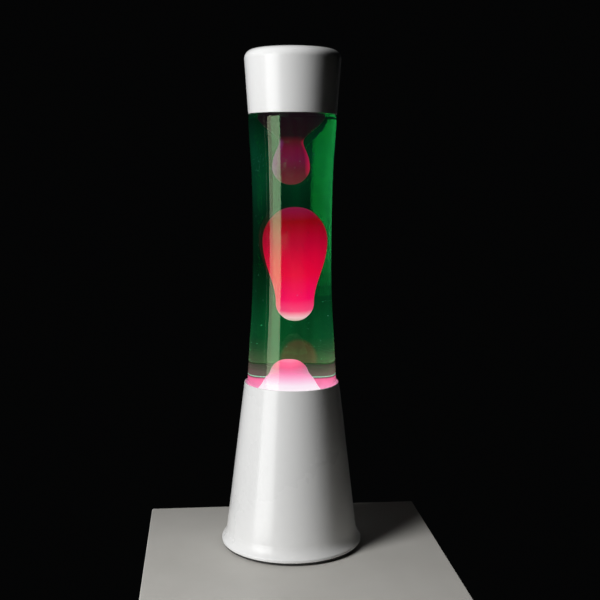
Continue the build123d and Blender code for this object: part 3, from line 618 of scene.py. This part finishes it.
# The pool's edge on the glass stands higher at the front and the back than at the sides.
EDGE_LOW = -0.0021
EDGE_CURVE = 3.5
EDGE_START = FLOOR + 0.0070
POOL_DIP = 0.0008


def uneven_edge(x, y, z):
    """Raises or lowers a point near the pool's top, and keeps it at the same depth in the glass."""
    raised = z + (EDGE_LOW + EDGE_CURVE * y * y) * share_of(z, EDGE_START, POOL_TOP - 0.0015)
    reach = math.hypot(x, y)
    fit = (reach + wall_radius(raised) - wall_radius(z)) / reach
    return x * fit, y * fit, raised


def pool_outline():
    depth = 1.2 * SKIN
    side = wall_radius(POOL_TOP) + depth
    points = [(0.0, FLOOR - depth)]
    points += [(r + depth, z - depth) for r, z in bottle_floor[1:-1]]
    points += [(r + depth, z) for r, z in inner_wall if z < POOL_TOP - 0.0009]
    points += [
        (side, POOL_TOP - 0.0008), (side - 0.0002, POOL_TOP), (side - 0.0007, POOL_TOP),
        (side - 0.0015, POOL_TOP - 0.0006), (side - 0.0030, POOL_TOP - POOL_DIP),
    ]
    return points + [(0.0, POOL_TOP - POOL_DIP)]


def pool_painted_light():
    """Painted light from the bulb: a pink glow against the glass, a painted shadow just under its edge, and
    painted shade on top, dim and cloudy.
    """
    mat, tree, shader = new_material("pool_wax")
    _, y, z = axes(tree, object_coords(tree))
    edge = arithmetic(tree, "MULTIPLY_ADD", arithmetic(tree, "MULTIPLY", y, y), EDGE_CURVE, EDGE_LOW)
    level = arithmetic(tree, "SUBTRACT", z, edge)
    side_glow = ramp(tree, value_range(tree, level, 0.0, 1.0, BOTTLE_FOOT + 0.0080, POOL_TOP), [
        (0.0, (0.96, 0.42, 0.66)), (0.5, (0.96, 0.25, 0.46)), (0.86, (0.96, 0.17, 0.36)),
        (0.94, (0.36, 0.10, 0.15)), (0.98, (0.05, 0.06, 0.05)), (1.0, (0.044, 0.072, 0.052)),
    ])
    top_glow = ramp(tree, value_range(tree, y, 0.0, 1.0, 0.0300, -0.0320), [
        (0.0, (0.20, 0.060, 0.090)), (0.35, (0.24, 0.080, 0.120)), (0.7, (0.20, 0.090, 0.120)),
        (1.0, (0.14, 0.100, 0.110)),
    ])
    _, _, up = axes(tree, object_normal(tree))
    # Faces turned up get the dim painted shade; the sides get the pink painted glow.
    glow = mixed(tree, "MIX", value_range(tree, up, 0.0, 1.0, 0.4, 0.7), side_glow, top_glow)
    tree.links.new(glow, shader.inputs["Emission Color"])
    cloud = noise(tree, object_coords(tree), 90.0, 4.0, 0.6)
    tree.links.new(value_range(tree, cloud, 0.85, 1.12, 0.3, 0.7), shader.inputs["Emission Strength"])
    tree.links.new(
        mixed(tree, "MULTIPLY", 1.0, glow, (0.1, 0.1, 0.1, 1.0)), shader.inputs["Base Color"]
    )
    shader.inputs["Roughness"].default_value = 0.35
    return mat


pool = turned("wax_pool", pool_outline(), ROUND, shift=uneven_edge)
pool.data.materials.append(pool_painted_light())


def lit_by_itself(mat):
    """Makes a finish glow in its own colour, and gives its tree and shader."""
    tree = mat.node_tree
    shader = tree.nodes["Principled BSDF"]
    tree.links.new(shader.inputs["Base Color"].links[0].from_socket, shader.inputs["Emission Color"])
    return tree, shader


def meniscus_painted_light():
    """A painted highlight: pale green that glows on the faces turned away from the bottle's axis."""
    mat = surface(
        "meniscus_glow", (0.30, 0.62, 0.47), (0.22, 0.52, 0.38), 90.0, (0.2, 0.3), grain=0.00002,
    )
    tree, shader = lit_by_itself(mat)
    outward = dot(tree, object_coords(tree, (1, 1, 0)), object_normal(tree))
    tree.links.new(
        value_range(tree, outward, 0.0, 0.8, 0.004, 0.02), shader.inputs["Emission Strength"]
    )
    return mat


line_x = wall_radius(POOL_TOP + 0.0004) + 0.9 * SKIN
meniscus = turned(
    "meniscus",
    [
        (line_x, POOL_TOP - 0.0001), (line_x, POOL_TOP + 0.0005), (line_x - 0.0002, POOL_TOP + 0.0008),
        (line_x - 0.0005, POOL_TOP + 0.0003), (line_x - 0.0010, POOL_TOP),
    ],
    ROUND, shift=uneven_edge,
)
meniscus.data.materials.append(meniscus_painted_light())

def add_speck(mesh, degrees, z, radius):
    """A tiny ball of wax on the inside of the glass."""
    around = math.radians(degrees)
    out = wall_radius(z) - 0.0006
    at = Matrix.Translation((out * math.cos(around), out * math.sin(around), z))
    bmesh.ops.create_icosphere(mesh, subdivisions=2, radius=radius, matrix=at)


def glass_specks():
    """Specks all round, more of them low down, and one cluster high up at the front left."""
    dice = random.Random(7)
    mesh = bmesh.new()
    for k in range(95):
        degrees = dice.uniform(0, 360)
        z = 0.1480 + 0.185 * dice.random() ** (1.8 if k % 3 else 1.0)
        add_speck(mesh, degrees, z, dice.uniform(0.00010, 0.00022) * (1.6 if k % 11 == 0 else 1.0))
    for _ in range(26):
        degrees = -146 + dice.gauss(0, 5.0)
        z = 0.3070 + dice.gauss(0, 0.0050)
        add_speck(mesh, degrees, z, dice.uniform(0.00008, 0.00016))
    data = bpy.data.meshes.new("glass_specks")
    mesh.to_mesh(data)
    mesh.free()
    mat = surface(
        "glass_specks", (0.30, 0.75, 0.55), (0.20, 0.50, 0.38), 200.0, (0.3, 0.5), grain=0.00001,
    )
    tree, shader = lit_by_itself(mat)
    # Painted light: the specks glow a little in their own green, as painted glints.
    shader.inputs["Emission Strength"].default_value = 0.45
    data.materials.append(mat)
    piece = bpy.data.objects.new("glass_specks", data)
    scene.collection.objects.link(piece)
    auto_smooth(piece, 80.0)
    return piece


specks = glass_specks()
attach(specks, "bottle")
for piece in (mound, pool, meniscus):
    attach(piece, "bottle")
    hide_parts("wax_mound")

# ---------------------------------------------------------------- stage, light and camera

TABLE = (0.238, 0.34, 0.6)


def table_finish():
    """Pale paint, with painted shade that darkens it a little towards the back."""
    mat, tree, shader = new_material("pale_table")
    shade = noise(tree, object_coords(tree), 3.0, 4.0)
    paint = ramp(tree, shade, [(0.3, (0.54, 0.525, 0.49)), (0.7, (0.61, 0.595, 0.56))])
    _, depth, _ = axes(tree, object_coords(tree))
    # Painted shade: the light falls off towards the back of the table.
    fade = ramp(tree, value_range(tree, depth, 0.0, 1.0, -0.1, 0.5), [
        (0.0, (1.0, 1.0, 1.0)), (0.5, (0.9, 0.9, 0.9)), (1.0, (0.72, 0.72, 0.72)),
    ])
    tree.links.new(mixed(tree, "MULTIPLY", 1.0, paint, fade), shader.inputs["Base Color"])
    shader.inputs["Roughness"].default_value = 0.55
    return mat


bpy.ops.mesh.primitive_cube_add(size=1.0)
table = bpy.context.object
table.name = "pale_table"
table.scale = TABLE
table.rotation_euler = (0, 0, math.radians(5.2))
table.location = (0.0083, -0.0844, -TABLE[2] / 2)
bevel = table.modifiers.new("round", "BEVEL")
bevel.width = 0.004
bevel.segments = 4
table.data.materials.append(table_finish())

world = bpy.data.worlds.new("dark_room")
scene.world = world
world.use_nodes = True
world.node_tree.nodes["Background"].inputs["Color"].default_value = (0.9, 0.95, 1.0, 1.0)
world.node_tree.nodes["Background"].inputs["Strength"].default_value = 0.0015


def softbox(name, azimuth, distance, height, size, power, aim, hidden_from):
    """A rectangular lamp round the object: azimuth 0 is in front, negative is to the left."""
    data = bpy.data.lights.new(name, "AREA")
    data.shape = "RECTANGLE"
    data.size, data.size_y = size
    data.energy = power
    lamp = bpy.data.objects.new(name, data)
    scene.collection.objects.link(lamp)
    a = math.radians(azimuth)
    lamp.location = (math.sin(a) * distance, -math.cos(a) * distance, height)
    lamp.rotation_mode = "QUATERNION"
    aim_at = Vector((0, 0, aim)) - Vector(lamp.location)
    lamp.rotation_quaternion = aim_at.to_track_quat("-Z", "Y")
    for ray in hidden_from:
        setattr(lamp, f"visible_{ray}", False)
    return lamp


# Tall boxes that show only as reflections on the enamel and on the front of the glass.
softbox("strip", -50.3, 1.1, 0.30, (0.681, 0.68), 4.7, 0.30, ("transmission", "diffuse"))
softbox("strip_low", -50.3, 1.1, -0.175, (0.681, 0.27), 1.87, -0.175, ("transmission", "diffuse"))

# A green box, seen only through the bottle, as its reflection off the back wall; it fades at the bottom.
THROUGH_WIDTH = 0.52
THROUGH_POWER = 5.6
FADE = [(0.16, 0.64, 1.0), (0.10, 0.16, 0.8), (0.04, 0.10, 0.58), (-0.02, 0.04, 0.36), (-0.08, -0.02, 0.16)]
for number, (low, high, share) in enumerate(FADE):
    middle = (low + high) / 2
    power = THROUGH_POWER * share * THROUGH_WIDTH * (high - low)
    through = softbox(
        f"strip_through_{number}", -46.5, 1.1, middle, (THROUGH_WIDTH, high - low), power, middle,
        ("glossy", "diffuse"),
    )
    through.data.color = (0.30, 1.0, 0.58)

# Soft light on the enamel and the table, a thin line of light at the left, and a little from behind.
softbox("soft_key", -52.0, 1.2, 0.85, (0.40, 1.1), 23.6, 0.2, ("transmission", "glossy"))
softbox("thin_strip", -77.0, 1.1, 0.20, (0.03, 0.9), 0.06, 0.2, ("transmission", "diffuse"))
softbox("back_fill", 164.0, 1.4, 0.10, (0.5, 0.3), 2.7, 0.2, ("transmission", "glossy"))

camera_data = bpy.data.cameras.new("camera")
camera_data.sensor_width = 36.0
camera_data.lens = 58.8
camera_data.clip_start, camera_data.clip_end = 0.01, 50.0
camera = bpy.data.objects.new("camera", camera_data)
scene.collection.objects.link(camera)
turn = Matrix.Rotation(math.radians(-0.47), 4, "Z")
pitch = Matrix.Rotation(math.radians(90 - 7.7), 4, "X")
roll = Matrix.Rotation(math.radians(0.23), 4, "Z")
camera.matrix_world = Matrix.Translation((0.0, -0.777, 0.305)) @ turn @ pitch @ roll
scene.camera = camera

scene.view_settings.view_transform = "Standard"
scene.cycles.use_denoising = True
